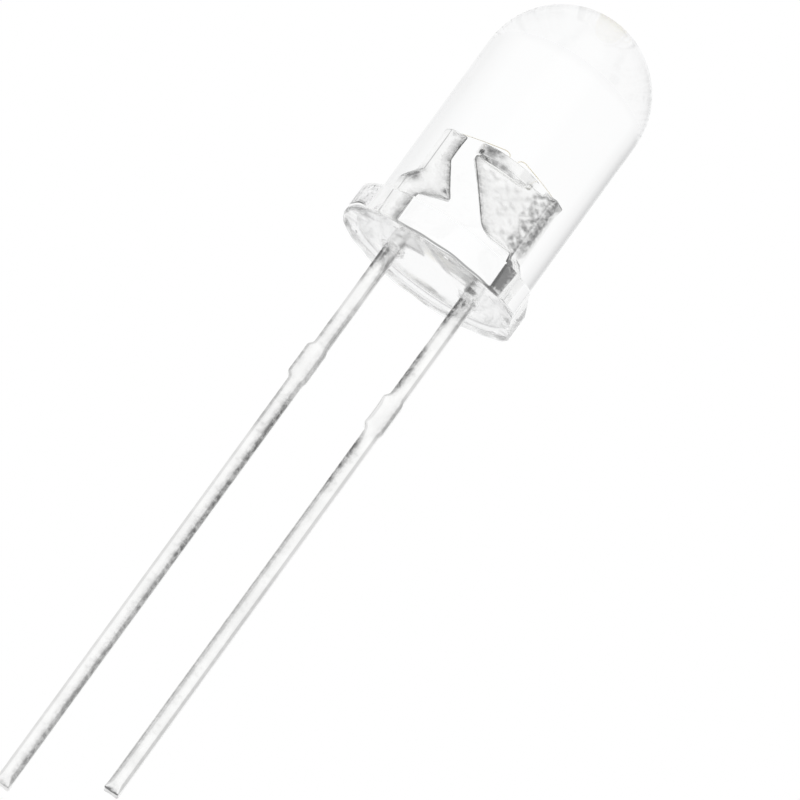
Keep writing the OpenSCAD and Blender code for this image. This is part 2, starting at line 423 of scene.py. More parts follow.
def chipCrystal():
    look = crystalLook
    material, tree, shader = newMaterial("chipCrystal")
    cells = node(tree, "ShaderNodeTexVoronoi", Scale=look["cellScale"])
    coord = node(tree, "ShaderNodeTexCoord")
    tree.links.new(coord.outputs["Object"], cells.inputs["Vector"])
    tone = ramp(tree, cells.outputs["Distance"], look["tone"])
    tree.links.new(tone, shader.inputs["Base Color"])
    shader.inputs["Roughness"].default_value = look["roughness"]
    shader.inputs["Transmission Weight"].default_value = look["clear"]
    shader.inputs["IOR"].default_value = look["ior"]
    return material


glueLook = {
    "grainScale": 40000,
    "tone": [(0.3, 0.74), (0.7, 0.86)],
    "roughness": 0.5,
}


def chipGlue():
    return grained("chipGlue", glueLook, detail=3)[0]


epoxy = clearEpoxy()
plating = platedSteel()
print("materials ready")


# The cast lens: barrel, dome, flange with its flat, dished underside that climbs a little up the leads

lensForm = {
    "barrelR": 2.5,
    "flangeH": 0.9,
    "edgeR": 0.1,  # the flange's lower edge
    "topEdgeR": 0.003,
    "rootR": 0.1,  # hollow corner between flange and barrel
    "dishRim": 0.35,
    "dishDepth": 0.12,
    "climb": 0.16,  # how far the resin climbs down along a lead
    "climbWide": 0.11,
    "climbX": 1.27,  # the leads' middle and half their width
    "climbHalf": 0.23,
    "rimWave": 0.02,  # the lower edge isn't quite level
    "rimWaves": ((13, 1), (5, 2.2)),  # waves round the flange, and where each starts
    "turns": 256,
    "flatSteps": 32,  # of the turns, along the flat
    "dishSteps": 60,
    "rimSteps": 3,
    "wallSteps": 24,
    "domeSteps": 64,
}


def lensShape():
    form = lensForm
    flangeR, top, flatX = min(lensHigh[1], -lensLow[0]), lensHigh[2], lensHigh[0]
    barrelR, flangeH, edge, root = form["barrelR"], form["flangeH"], form["edgeR"], form["rootR"]
    topEdge = form["topEdgeR"]
    dishR = flangeR - edge - form["dishRim"]
    domeZ = top - barrelR
    dishRing = np.linspace(0, dishR, form["dishSteps"])
    dish = np.stack([dishRing, form["dishDepth"] * (1 + np.cos(np.pi * dishRing / dishR)) / 2], -1)
    rim = between(dishR, flangeR - edge, form["rimSteps"])
    wall = between(flangeH + root, domeZ, form["wallSteps"])
    profile = np.vstack([
        dish,
        np.stack([rim, np.zeros(len(rim))], -1),
        arc((flangeR - edge, edge), edge, -90, 0, 7),
        arc((flangeR - topEdge, flangeH - topEdge), topEdge, 0, 90, 4),
        arc((barrelR + root, flangeH + root), root, 270, 180, 6),
        np.stack([np.full(len(wall), barrelR), wall], -1),
        arc((0, domeZ), barrelR, 0, 90, form["domeSteps"]),
    ])
    flatEdge = np.arccos(flatX / flangeR)
    angles = np.concatenate([
        np.linspace(-flatEdge, flatEdge, form["flatSteps"] + 1)[:-1],
        np.linspace(flatEdge, 2 * np.pi - flatEdge, form["turns"] - form["flatSteps"] + 1)[:-1],
    ])
    verts, faces = lathe(profile, angles)
    inFlange = verts[:, 2] < flangeH + 1e-6
    verts[inFlange, 0] = np.minimum(verts[inFlange, 0], flatX)
    # the lower edge rises and falls by the product of two slow waves round the flange, fading upwards
    turn = np.arctan2(verts[:, 1], verts[:, 0])
    atRim = (np.hypot(verts[:, 0], verts[:, 1]) > dishR - 1e-6) * rise(verts[:, 2], 2 * edge, 0)
    (waves, start), (slowWaves, slowStart) = form["rimWaves"]
    wave = np.sin(waves * turn + start) * np.sin(slowWaves * turn + slowStart)
    verts[:, 2] += form["rimWave"] * atRim * wave
    # the resin's free surface: it falls off exponentially with the distance from each lead's sides
    dx = np.maximum(np.abs(np.abs(verts[:, 0]) - form["climbX"]) - form["climbHalf"], 0)
    dy = np.maximum(np.abs(verts[:, 1]) - form["climbHalf"], 0)
    away = np.hypot(dx, dy)
    below = (verts[:, 2] <= form["dishDepth"] + 1e-6) & (np.hypot(verts[:, 0], verts[:, 1]) < dishR)
    verts[:, 2] -= np.where(below, form["climb"] * np.exp(-away / form["climbWide"]), 0)
    return verts, faces


makePiece("lensCasting", lensShape(), epoxy, ["lens"], sharpDeg=20)


# The stamped leads: one outline each, with the rolled edge of the punch, and pits on the head's faces

leadForm = {
    "pitch": 2.54,
    "width": 0.46,
    "sheet": 0.46,
    "stopTop": -3.44,
    "stopLen": 1.2,
    "stopSlope": 0.13,
    "stopWide": 0.12,
    "stopNarrow": 0.04,
    "bend": 0.05,  # how far the outline's corners are cut back
    "bendSteps": 4,
    "sideStep": 0.25,
    "rollSteps": 5,
    "innerRoll": 0.16,  # edge radius on the side towards the other lead
    "outerRoll": 0.11,
    "headRoll": 0.11,  # and the same two in the head
    "headOuterRoll": 0.08,
    "rollChange": (0.6, 1.1),  # heights between which they change
    "cornerRoll": 0.8,  # the roll at a tight corner, as a share of its radius
    "rollGrowth": 0.5,  # and how it grows with the distance from there
    "head": (0.1, 0.6),  # heights between which the blade turns into the head
    "faceGrid": 0.03,
    "faceFree": 0.6,  # of the grid's step, kept free along the face's edge
    "bladeStep": 0.2,
    "bladeEnd": 0.1,
}
leadHalf = leadForm["width"] / 2
leadOut = leadForm["pitch"] / 2 + leadHalf
leadIn = leadForm["pitch"] / 2 - leadHalf
rollAngles = np.linspace(0, np.pi / 2, leadForm["rollSteps"] + 1)  # from the face round to the side

# the scored face of the heads
knurlForm = {
    "pitch": 0.15,
    "across": (-1.6, 1.4),  # where the strokes lie, in x
    "upwards": (1.4, 3.8),  # and in z
    "leans": (0.8, -0.75),  # slopes of the two directions, in radians
    "leanJitter": 0.2,
    "placeJitter": 0.4,  # as a share of the pitch
    "weakest": 0.1,
    "long": 0.1,
    "thin": 0.045,
    "depth": 0.009,
    "from": 1.5,  # no pits under this height
    "fadeIn": 0.2,
    "rim": (0.03, 0.09),  # distances from the face's edge between which they begin
    "seed": 5,
}

postForm = {
    "shoulder": 1.82,
    "step": 0.36,  # height of the step in the outer side
    "headX": 1.09,
    "headW": 0.38,
    "headH": 0.8,
    "barbReach": 0.56,
    "barbZ": 1.82,
    "barbRoot": 1.5,
}

anvilForm = {
    "base": 1.6,
    "heelX": 0.3,
    "heelR": 0.45,
    "heelSteps": 8,
    "toeX": 0.58,
    "toeZ": 3.22,
    "top": 3.48,
    "underCup": 3.34,  # the blade stays below the bowl's floor
    "inCup": 0.02,  # how far it reaches into the cup's wall
    "outer": 1.25,
    "shoulder": 1.2,
    "shoulderH": 0.35,
    "hornW": 0.36,
    "hornH": 0.14,
}


def bladePoints(x, tip):
    # down the +X side, round the tip, up the -X side, past the stopper on both sides
    form = leadForm
    right, left = x + leadHalf, x - leadHalf
    rightOut, leftOut = right + form["stopNarrow"], left - form["stopWide"]
    stop, slope = form["stopTop"], form["stopSlope"]
    stopEnd = stop - form["stopLen"]
    return [
        [right, stop], [rightOut, stop - slope], [rightOut, stopEnd + slope], [right, stopEnd],
        [right, tip], [left, tip],
        [left, stopEnd], [leftOut, stopEnd + slope], [leftOut, stop - slope], [left, stop],
    ]


def postPoints(top):
    form = postForm
    outer, inner = -form["headX"] - form["headW"] / 2, -form["headX"] + form["headW"] / 2
    neck = top - form["headH"]
    return [
        [-leadOut, form["shoulder"]], [outer, form["shoulder"] + form["step"]], [outer, top],
        [inner, top], [inner, neck],
        [-leadIn + form["barbReach"], form["barbZ"]], [-leadIn, form["barbRoot"]],
    ]


def anvilPoints(hornTop):
    form = anvilForm
    slant = np.degrees(np.arctan2(form["toeZ"] - form["base"], -form["toeX"] - form["heelX"]))
    back = form["heelR"] * np.tan(np.radians(180 - slant) / 2)
    heel = arc((form["heelX"] + back, form["base"] + form["heelR"]), form["heelR"], 270, slant + 90,
               form["heelSteps"])
    cupEdge = cathodeHigh[1] - form["inCup"]
    hornIn = form["outer"] - form["hornW"]
    return [
        [leadIn, form["base"]], *heel.tolist(), [-form["toeX"], form["toeZ"]],
        [-form["toeX"], form["underCup"]], [cupEdge, form["underCup"]], [cupEdge, form["top"]],
        [hornIn, form["top"]], [hornIn, hornTop], [form["outer"], hornTop],
        [form["outer"], form["shoulder"] + form["shoulderH"]], [leadOut, form["shoulder"]],
    ]


def distanceToOutline(points, outline):
    # shortest distance from each point to any side of a closed outline
    a, b = outline, np.roll(outline, -1, 0)
    side = b - a
    t = ((points[:, None, :] - a[None]) * side[None]).sum(-1) / np.maximum((side ** 2).sum(-1), 1e-12)[None]
    foot = a[None] + np.clip(t, 0, 1)[..., None] * side[None]
    return np.linalg.norm(points[:, None, :] - foot, axis=-1).min(1)


def insideOutline(points, outline):
    # even-odd test: how many sides a ray towards +X crosses
    a, b = outline, np.roll(outline, -1, 0)
    px, pz = points[:, 0, None], points[:, 1, None]
    spans = (a[None, :, 1] > pz) != (b[None, :, 1] > pz)
    height = np.where(np.abs(b[:, 1] - a[:, 1]) < 1e-12, 1e-12, b[:, 1] - a[:, 1])
    cross = a[None, :, 0] + (pz - a[None, :, 1]) * (b[:, 0] - a[:, 0])[None] / height[None]
    return ((spans & (px < cross)).sum(1) % 2).astype(bool)


def marks(points, spots):
    # soft round marks, each (x, z, radius, strength): strength * exp(-(distance / radius) squared)
    spots = np.array(spots)
    away = np.linalg.norm(points[:, None] - spots[None, :, :2], axis=-1)
    return (spots[None, :, 3] * np.exp(-(away / spots[None, :, 2]) ** 2)).max(1)


def knurl(points):
    # short scored strokes, leaning left and right in turn on a loose grid: the sum of long thin bells
    form = knurlForm
    rng = np.random.default_rng(form["seed"])
    gx, gz = np.meshgrid(*(np.arange(*form[key], form["pitch"]) for key in ("across", "upwards")))
    order = np.arange(gx.size)
    leans = np.where((order // gx.shape[1] + order) % 2 == 0, *form["leans"])
    turn = leans + rng.uniform(-form["leanJitter"], form["leanJitter"], gx.size)
    middle = np.stack([gx.ravel(), gz.ravel()], -1)
    jitter = rng.uniform(-form["placeJitter"], form["placeJitter"], middle.shape)
    middle = middle + jitter * form["pitch"]
    strength = rng.uniform(form["weakest"], 1, gx.size)
    gap = points[:, None] - middle[None]
    along = gap[..., 0] * np.cos(turn) + gap[..., 1] * np.sin(turn)
    across = gap[..., 1] * np.cos(turn) - gap[..., 0] * np.sin(turn)
    bells = np.exp(-(along / form["long"]) ** 2 - (across / form["thin"]) ** 2)
    return np.minimum((bells * strength).sum(1), 1)


def inHead(z):
    return rise(z, *leadForm["head"])


def rollFor(middleX):
    # the rolled edge is wide on the inner side of the lead, narrow on its outer side
    form = leadForm

    def roll(outline):
        innerSide = np.sign(middleX) * (outline[:, 0] - middleX) < 0
        share = rise(outline[:, 1], *form["rollChange"])
        inner = blend(form["innerRoll"], form["headRoll"], share)
        outer = blend(form["outerRoll"], form["headOuterRoll"], share)
        return np.where(innerSide, inner, outer)
    return roll


def outwardNormals(outline):
    # the step from the point before to the point after, turned a quarter to the right
    along = np.roll(outline, -1, 0) - np.roll(outline, 1, 0)
    normal = np.stack([along[:, 1], -along[:, 0]], -1)
    return normal / np.linalg.norm(normal, axis=1)[:, None]


def facePoints(edgeRing):
    # points inside a face on three grids, fine in the head, wider by the resin and widest on the blade,
    # and how far each lies from the face's edge
    grid = leadForm["faceGrid"]
    low, high = edgeRing.min(0), edgeRing.max(0)
    pitted, shadedAtExit = knurlForm["from"], exitShade["from"]
    spans = [
        (pitted, high[1], grid, grid),
        (shadedAtExit, pitted, grid, 2 * grid),
        (low[1] + leadForm["bladeEnd"], shadedAtExit, 2 * grid, leadForm["bladeStep"]),
    ]
    grids = [np.meshgrid(np.arange(low[0], high[0], stepX), np.arange(start, end, stepZ))
             for start, end, stepX, stepZ in spans]
    points = np.vstack([np.stack([x.ravel(), z.ravel()], -1) for x, z in grids])
    points = points[insideOutline(points, edgeRing)]
    gap = distanceToOutline(points, edgeRing)
    kept = gap > grid * leadForm["faceFree"]
    return points[kept], gap[kept]


def faceTriangles(edgeRing, inner):
    # triangles between the points of a face's edge, which come first, and those inside it
    count = len(edgeRing)
    sides = [(i, (i + 1) % count) for i in range(count)]
    found = delaunay_2d_cdt([Vector(p) for p in np.vstack([edgeRing, inner])], sides, [], 1, 1e-7)
    source = [ids[0] for ids in found[3]]
    return [[source[i] for i in face] for face in found[2]]


def rolledRings(outline, normal, roll):
    # the outline carried through the sheet's thickness, each edge rolled over by a quarter circle:
    # inset roll * (1 - sin a) and depth roll * (1 - cos a), for angles a from the face to the side
    inset = roll * (1 - np.sin(rollAngles))[:, None]
    depth = -leadForm["sheet"] / 2 + roll * (1 - np.cos(rollAngles))[:, None]
    inset = np.vstack([inset, inset[::-1]])
    depth = np.vstack([depth, -depth[::-1]])
    xz = outline[None] - normal[None] * inset[..., None]
    return np.stack([xz[..., 0], depth, xz[..., 1]], -1)


def shapeShadeAndWear(outline, edgeRing, inner, gap, sideShadeAndWear, faceShadeAndWear):
    # painted shade and wear: it grows round the roll, is less on the blades' sides, and is smeared from the
    # edge over the face
    shadeAndWear = shadeAndWearForm
    front, back = sideShadeAndWear
    atHead = inHead(outline[:, 1])
    faceShare = blend(shadeAndWear["faceShare"], shadeAndWear["headFaceShare"], atHead)
    ringShadeAndWear = np.minimum(faceShare + np.sin(rollAngles)[:, None], 1)
    ringShadeAndWear[-1] = blend(shadeAndWear["sideShare"], 1, atHead)
    paintedShadeAndWear = np.vstack([ringShadeAndWear * front, ringShadeAndWear[::-1] * back]).ravel()
    nearest = np.linalg.norm(inner[:, None] - edgeRing[None], axis=-1).argmin(1)
    atExit = np.exp(-((inner[:, 1] - exitShade["middle"]) / exitShade["half"]) ** 2)
    smear = blend(shadeAndWear["smear"], shadeAndWear["headSmear"], inHead(inner[:, 1]))
    smear = smear + (exitShade["smear"] - shadeAndWear["smear"]) * atExit
    share = faceShare[nearest] + exitShade["faceShare"] * atExit
    innerShadeAndWear = np.maximum(share * front[nearest] * np.exp(-gap / smear), faceShadeAndWear)
    return np.concatenate([paintedShadeAndWear, innerShadeAndWear, innerShadeAndWear])


def stampedShape(corners, rollOf, sideShadeAndWearOf, faceShadeAndWearOf):
    # rings round a rounded outline in XZ, and two faces with shallow pits of the knurl; the second value
    # returned is the painted shade and wear of each vertex
    form = leadForm
    outline, arcR = roundCorners(corners, form["bend"], form["bendSteps"])
    # the corners are given clockwise, and the normals point outwards the other way round
    outline, arcR = splitLong(outline[::-1], arcR[::-1], form["sideStep"])
    normal = outwardNormals(outline)
    # near a tight outer corner the roll shrinks, so that its inner edge never crosses itself
    tight = arcR < noArc
    apart = np.linalg.norm(outline[:, None] - outline[None, tight], axis=-1)
    most = (arcR[tight] * form["cornerRoll"] + apart * form["rollGrowth"]).min(1)
    rings = rolledRings(outline, normal, np.minimum(rollOf(outline), most))
    edgeRing = rings[0][:, [0, 2]]
    inner, gap = facePoints(edgeRing)
    pits = knurl(inner) * rise(gap, *knurlForm["rim"])
    pits = pits * rise(inner[:, 1], knurlForm["from"], knurlForm["from"] + knurlForm["fadeIn"])
    front = -form["sheet"] / 2 + knurlForm["depth"] * pits
    # vertices: all rings, then the front face's inner points, then the back face's
    count = len(outline)
    innerFront = len(rings) * count
    innerBack = innerFront + len(inner)
    backStart = innerFront - count
    verts = np.vstack([
        rings.reshape(-1, 3),
        np.stack([inner[:, 0], front, inner[:, 1]], -1),
        np.stack([inner[:, 0], -front, inner[:, 1]], -1),
    ])
    cap = faceTriangles(edgeRing, inner)
    faces = gridFaces(len(rings), count)
    faces += [[i if i < count else innerFront + i - count for i in f] for f in cap]
    faces += [[i + backStart if i < count else innerBack + i - count for i in f] for f in cap]
    paintedShadeAndWear = shapeShadeAndWear(outline, edgeRing, inner, gap, sideShadeAndWearOf(outline, normal), faceShadeAndWearOf(inner, pits))
    return (verts, faces), paintedShadeAndWear


# Painted shade and reflections, and the sheared ends' wear: 0 is bright plating, 1 dull grey with bright
# blotches left, and more than 1 leaves fewer of them

shadeAndWearForm = {
    "smear": 0.04,  # how far an edge's painted shade reaches over the face
    "headSmear": 0.12,
    "faceShare": 0.4,  # how much of it is left where the face begins
    "headFaceShare": 0.55,
    "sideShare": 0.45,  # and in the middle of the blades' sides
    "facing": 1.5,  # how fast the painted shade grows as a side turns towards the other lead
    "least": 0.05,
    "anodeFacing": 0.2,
    "cathodeFacing": 0.1,
    "anodeHead": 0.85,
    # painted shade in the knurl's pits
    "anodePits": 0.12,
    "cathodeHead": 0.75,
    "jog": 0.9,  # the step in the post's outer side
    "jogUp": 0.15,
    "jogHalf": 0.25,
    "outside": 0.3,  # height over which painted shade darkens the anvil's outer side
    "anodeEnd": 0.7,  # the sheared ends
    "cathodeEnd": 1.4,
    "end": (0.2, 0.1),  # heights over the tip between which that begins
    "endTurn": (0.2, 0.7),  # how far a side has to turn downwards
}

# painted shade where the leads leave the resin, from edge to edge
exitShade = {
    "from": -1.4,
    "middle": -0.18,
    "half": 0.3,
    "smear": 0.6,
    "faceShare": 0.5,
    "fade": (-1.5, -0.6),
    "top": (0.15, -0.05),
    "leftwards": 0.35,  # stronger on the left
}

# painted reflection: the outer third of the anvil is dark between its pits, and painted shade makes the
# blade under it darker still
anvilShadeForm = {
    "border": 0.74,  # where it begins, in x
    "borderOut": 0.12,  # further out in the lower half
    "borderChange": (2.6, 1.6),
    "sway": 0.04,
    "swayTurns": 9,
    "soft": 0.08,
    "start": 0.1,
    "dull": 0.95,
    "pitsBright": 1.1,  # painted glints: how much brighter the pits are there
    "pitsShade": 0.35,  # painted shade: how much darker they are in the rest of the face
    "stem": 1.35,
    "stemSide": 2.6,
    "stemFrom": (0.48, 0.58),
    "stemSideFrom": (0.5, 0.6),
    "stemTo": (0.35, 0.15),  # above the anvil's base
    "stemSideTo": 0.1,
    "stemInner": 1.03,
    "stemOuter": (1.42, 1.38),
    "stemSway": 0.03,
    "stemSwayTurns": 31,
    "stemSoft": 0.05,
    "cupX": 0.4,  # the sides beside the cup stay bright
    "cupDown": 0.05,
    "cupWear": 0.05,
}

# dark spots of the leads' heads, and painted shade on the cup's wall: x, z, radius, strength
anodeMarks = [
    (-0.94, 3.56, 0.1, 1.5), (-0.95, 3.05, 0.07, 1.1), (-0.6, 1.95, 0.12, 1.5),
    (-1.42, 1.93, 0.16, 1.6), (-1.2, 3.52, 0.08, 0.7),
]
cathodeMarks = [
    (-0.56, 3.3, 0.07, 1.2), (-0.5, 3.1, 0.08, 1.4), (-0.42, 2.92, 0.06, 1.0),
    (1.13, 3.56, 0.12, 1.6), (0.95, 3.52, 0.06, 1.0),
]
cupShadeSpots = [
    (-0.43, 3.6, 0.17, 0.95), (-0.24, 3.62, 0.14, 1.1), (-0.4, 3.38, 0.1, 0.6), (-0.2, 3.36, 0.14, 0.95),
    (0.0, 3.35, 0.13, 0.85), (0.16, 3.33, 0.1, 0.6),
]

# stretches of painted shade along the blades' edges: from z, to z, strength
bladeEdgeShades = {
    "anodeInner": [(-5.0, -1.9, 0.45), (-11.0, -5.0, 0.95), (-18.5, -11.0, 0.75)],
    "anodeOuter": [(-3.4, -2.4, 0.65), (-4.7, -3.4, 0.55), (-6.4, -4.8, 0.5), (-18.5, -6.4, 0.08)],
    "cathodeInner": [(-3.4, -1.8, 1.1), (-6.8, -4.9, 1.0), (-17.0, -6.8, 0.45)],
    "cathodeOuter": [(-4.7, -3.4, 0.55), (-17.0, -9.5, 0.18)],
    "soft": 0.4,
}


def edgeShadeStretches(z, stretches):
    # the strongest of the stretches, each fading out at both of its ends
    start, end, strength = np.array(bladeEdgeShades[stretches]).T
    soft = bladeEdgeShades["soft"] / 2
    z = z[:, None]
    return (strength * rise(z, start - soft, start + soft) * rise(z, end + soft, end - soft)).max(1)


def bladeEdgeShade(z, towards, inner, outer):
    # painted shade of the side towards the other lead and of the side away from it
    return np.clip(towards, 0, 1) * edgeShadeStretches(z, inner) + np.clip(-towards, 0, 1) * edgeShadeStretches(z, outer)


def shadedAtExit(z, normal):
    # painted shade: full where the leads leave the resin, gone a millimetre below, and stronger on the left
    side = 1.0 - exitShade["leftwards"] * normal[:, 0]
    return side * rise(z, *exitShade["fade"]) * rise(z, *exitShade["top"])


def endWear(z, normal, tip, strength):
    # the sheared end of a lead: sides near the tip that look downwards
    start, full = shadeAndWearForm["end"]
    return strength * rise(z, tip + start, tip + full) * rise(-normal[:, 1], *shadeAndWearForm["endTurn"])


def facingShade(towards, base):
    # painted shade that grows as a side turns towards the other lead
    return np.clip(towards * shadeAndWearForm["facing"] + base, shadeAndWearForm["least"], 1)


def anodeSideShadeAndWear(outline, normal):
    # painted shade, strong on the sides that face the other lead and weaker at the back, with the sheared
    # end's wear
    shadeAndWear, z = shadeAndWearForm, outline[:, 1]
    jog = np.exp(-((z - postForm["shoulder"] - shadeAndWear["jogUp"]) / shadeAndWear["jogHalf"]) ** 2)
    head = np.maximum(facingShade(normal[:, 0], shadeAndWear["anodeFacing"]) * shadeAndWear["anodeHead"], jog * shadeAndWear["jog"])
    paintedShadeAndWear = np.maximum.reduce([
        head * inHead(z), bladeEdgeShade(z, normal[:, 0], "anodeInner", "anodeOuter"), shadedAtExit(z, normal),
        endWear(z, normal, anodeLow[2], shadeAndWear["anodeEnd"]), marks(outline, anodeMarks),
    ])
    return paintedShadeAndWear, paintedShadeAndWear


def anodeFace(points, pits):
    # painted shade in the knurl's pits, and the heads' dark spots
    return np.maximum(shadeAndWearForm["anodePits"] * pits, marks(points, anodeMarks))


def cathodeSideShadeAndWear(outline, normal):
    # painted shade on the slanting side of the head, and on the front its side away from the other lead,
    # with the sheared end's wear
    shadeAndWear, dull, x, z = shadeAndWearForm, anvilShadeForm, outline[:, 0], outline[:, 1]
    base = anvilForm["base"]
    facing = facingShade(-normal[:, 0], shadeAndWear["cathodeFacing"])
    besideCup = (x > dull["cupX"]) & (z > anvilForm["underCup"] - dull["cupDown"])
    facing = np.where(besideCup, dull["cupWear"], facing) * shadeAndWear["cathodeHead"] * inHead(z)
    stem = rise(z, *dull["stemSideFrom"]) * rise(z, base, base - dull["stemSideTo"])
    paintedShadeAndWear = np.maximum.reduce([
        facing, dull["stemSide"] * stem * np.clip(-normal[:, 0], 0, 1),
        bladeEdgeShade(z, -normal[:, 0], "cathodeInner", "cathodeOuter"), shadedAtExit(z, normal),
        endWear(z, normal, cathodeLow[2], shadeAndWear["cathodeEnd"]), marks(outline, cathodeMarks),
    ])
    outside = np.clip(normal[:, 0], 0, 1) * rise(z, base, base + shadeAndWear["outside"])
    return np.maximum(paintedShadeAndWear, outside), paintedShadeAndWear


def cathodeFace(points, pits):
    # painted reflection: the dark zone right of a swaying border with painted glints in its pits, and
    # painted shade on the darker blade between two more
    dull, x, z = anvilShadeForm, points[:, 0], points[:, 1]
    base = anvilForm["base"]
    border = dull["border"] + dull["borderOut"] * rise(z, *dull["borderChange"])
    border = border + dull["sway"] * np.sin(dull["swayTurns"] * z)
    zone = rise(x, border, border + dull["soft"]) * rise(z, base, base + dull["start"])
    rub = np.maximum(zone * (dull["dull"] - dull["pitsBright"] * pits), 0)
    rub = rub + dull["pitsShade"] * pits * (1 - zone)
    inner = dull["stemInner"] + dull["stemSway"] * np.sin(dull["stemSwayTurns"] * z)
    stem = rise(x, inner, inner + dull["stemSoft"]) * rise(x, *dull["stemOuter"])
    stem = stem * rise(z, *dull["stemFrom"]) * rise(z, base + dull["stemTo"][0], base + dull["stemTo"][1])
    return np.maximum.reduce([rub, dull["stem"] * stem, marks(points, cathodeMarks)])


cupForm = {
    "height": 0.44,
    "taper": 0.12,
    "bowlTopR": 0.5,
    "bowlFloorR": 0.28,
    "bowlDepth": 0.3,
    "corner": 0.03,
    "cornerSteps": 5,
    "rowStep": 0.05,
    "turns": 96,
}


def cupShape():
    # an outline of wall, rim and bowl that runs past the axis on both sides, cut there and turned about it
    form = cupForm
    cupR, top = cathodeHigh[1], cathodeHigh[2]
    foot, floor = top - form["height"], top - form["bowlDepth"]
    corners = [
        [-1, foot], [cupR - form["taper"], foot], [cupR, foot + form["taper"]], [cupR, top],
        [form["bowlTopR"], top], [form["bowlFloorR"], floor], [-1, floor],
    ]
    profile, limit = roundCorners(corners, form["corner"], form["cornerSteps"])
    profile = splitLong(profile, limit, form["rowStep"])[0]
    profile = profile[profile[:, 0] > 1e-4]
    profile = np.vstack([[0, foot], profile, [0, floor]])
    verts, faces = lathe(profile, np.linspace(0, 2 * np.pi, form["turns"] + 1)[:-1])
    outside = np.hypot(verts[:, 0], verts[:, 1]) > form["bowlTopR"]
    # painted shade on the cup's outer wall
    return (verts, faces), np.where(outside, marks(verts[:, [0, 2]], cupShadeSpots), 0)


anodeX, cathodeX = -leadForm["pitch"] / 2, leadForm["pitch"] / 2
hornTop = anvilForm["top"] + anvilForm["hornH"]
anodeOutline = postPoints(anodeHigh[2]) + bladePoints(anodeX, anodeLow[2])
cathodeOutline = anvilPoints(hornTop) + bladePoints(cathodeX, cathodeLow[2])
anodeShape, anodeShadeAndWearValues = stampedShape(anodeOutline, rollFor(anodeX), anodeSideShadeAndWear, anodeFace)
makePiece("anodeLead", anodeShape, plating, ["anode_lead"], paintedShadeAndWear=anodeShadeAndWearValues)
cathodeShape, cathodeShadeAndWearValues = stampedShape(cathodeOutline, rollFor(cathodeX), cathodeSideShadeAndWear, cathodeFace)
cup, cupShade = cupShape()
cathodeShape, cathodeShadeAndWearValues = joined(cathodeShape, cup), np.concatenate([cathodeShadeAndWearValues, cupShade])
makePiece("cathodeLead", cathodeShape, plating, ["cathode_lead"], paintedShadeAndWear=cathodeShadeAndWearValues)


# Inside the cup: three CAD nodes with new materials, and the two bond wires

for name, material in (("led_chip", chipCrystal()), ("chip_adhesive", chipGlue()),
                       ("phosphor_fill", phosphorResin())):
    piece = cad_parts[name]
    piece.data.materials.clear()
    piece.data.materials.append(material)

wireForm = {
    "wireR": 0.0125,
    "ballR": 0.04,
    "ballH": 0.03,
    "ballX": 0.09,
    "bendR": 0.1,
    "overRim": 0.06,
    "footLen": 0.1,
    "footHalfW": 0.03,
    "footHalfH": 0.006,
    "ballEnd": 0.8,  # where it sits on the chip, as a share of its radius
    "pressed": 0.7,  # where the wire first touches the pad, as a share of its radius
    "footEnd": 0.8,  # as a share of the foot's width
    "ballSteps": 5,
    "bendSteps": 13,
    "sides": 16,
}


def wireShape(landX, landZ, side):
    # up from the chip, one bend, a straight fall over the cup's rim, and a flat foot on the pad
    form = wireForm
    r = form["wireR"]
    ballX, ballH, bendR, footLen = (form[key] for key in ("ballX", "ballH", "bendR", "footLen"))
    cupR, cupTop = cathodeHigh[1], cathodeHigh[2]
    touch = np.array([landX - footLen / 2, landZ + r])
    fall = np.arctan2(touch[1] - cupTop - form["overRim"], touch[0] - cupR)
    bendX = ballX + bendR
    bendZ = touch[1] - (touch[0] - bendX) * np.tan(fall) - bendR / np.cos(fall)
    swell = between(0, np.pi, form["ballSteps"])
    ballZ = chipTop + ballH * (1 - np.cos(swell)) / 2
    turn = np.linspace(np.pi / 2, fall, form["bendSteps"])
    lastRound = touch - footLen / 2 * np.array([np.cos(fall), np.sin(fall)])
    footZ = landZ + form["footHalfH"]
    path = np.vstack([
        [[ballX, chipTop]],
        np.stack([np.full(len(ballZ), ballX), ballZ], -1),
        [[ballX, chipTop + ballH]],
        np.stack([bendX - bendR * np.sin(turn), bendZ + bendR * np.cos(turn)], -1),
        [lastRound, [touch[0], landZ + r * form["pressed"]], [touch[0] + footLen / 3, footZ],
         [touch[0] + footLen, footZ]],
    ])
    heading = np.concatenate([np.full(len(swell) + 2, np.pi / 2), turn, [fall, fall / 2, 0, 0]])
    ball = r + (form["ballR"] - r) * np.sin(swell) ** 0.5
    upToFoot = np.concatenate([[form["ballR"] * form["ballEnd"]], ball, np.full(len(turn) + 2, r)])
    halfW, halfH = form["footHalfW"], form["footHalfH"]
    wide = np.append(upToFoot, [(r + halfW) / 2, halfW, halfW * form["footEnd"]])
    high = np.append(upToFoot, [r * form["pressed"], halfH, halfH])
    verts, faces = tube(path, heading, wide, high, form["sides"])
    verts[:, 0] *= side
    return verts, faces


gold = bondGold()
hornX = anvilForm["outer"] - anvilForm["hornW"] / 2
anodeWire = wireShape(postForm["headX"], anodeHigh[2], -1)
cathodeWire = wireShape(hornX, hornTop, 1)
makePiece("anodeWire", anodeWire, gold, ["anode_bond_wire"])
makePiece("cathodeWire", cathodeWire, gold, ["cathode_bond_wire"])


# Camera: a long lens below the flange's level, rolled so that the dome points up and to the right

view = {
    "pixelsPerMm": 36.4,
    "below": 14.6,  # degrees under the horizon of the flange
    "aside": 7,  # degrees round from the front towards the flat
    "roll": 36.0,  # degrees from the picture's vertical to the lens axis
    "originAt": (429.8, 275.6),  # pixel of the underside's middle
    "distance": 400 * mm,
    "sensor": 36,
    "clip": (0.01, 5),
}


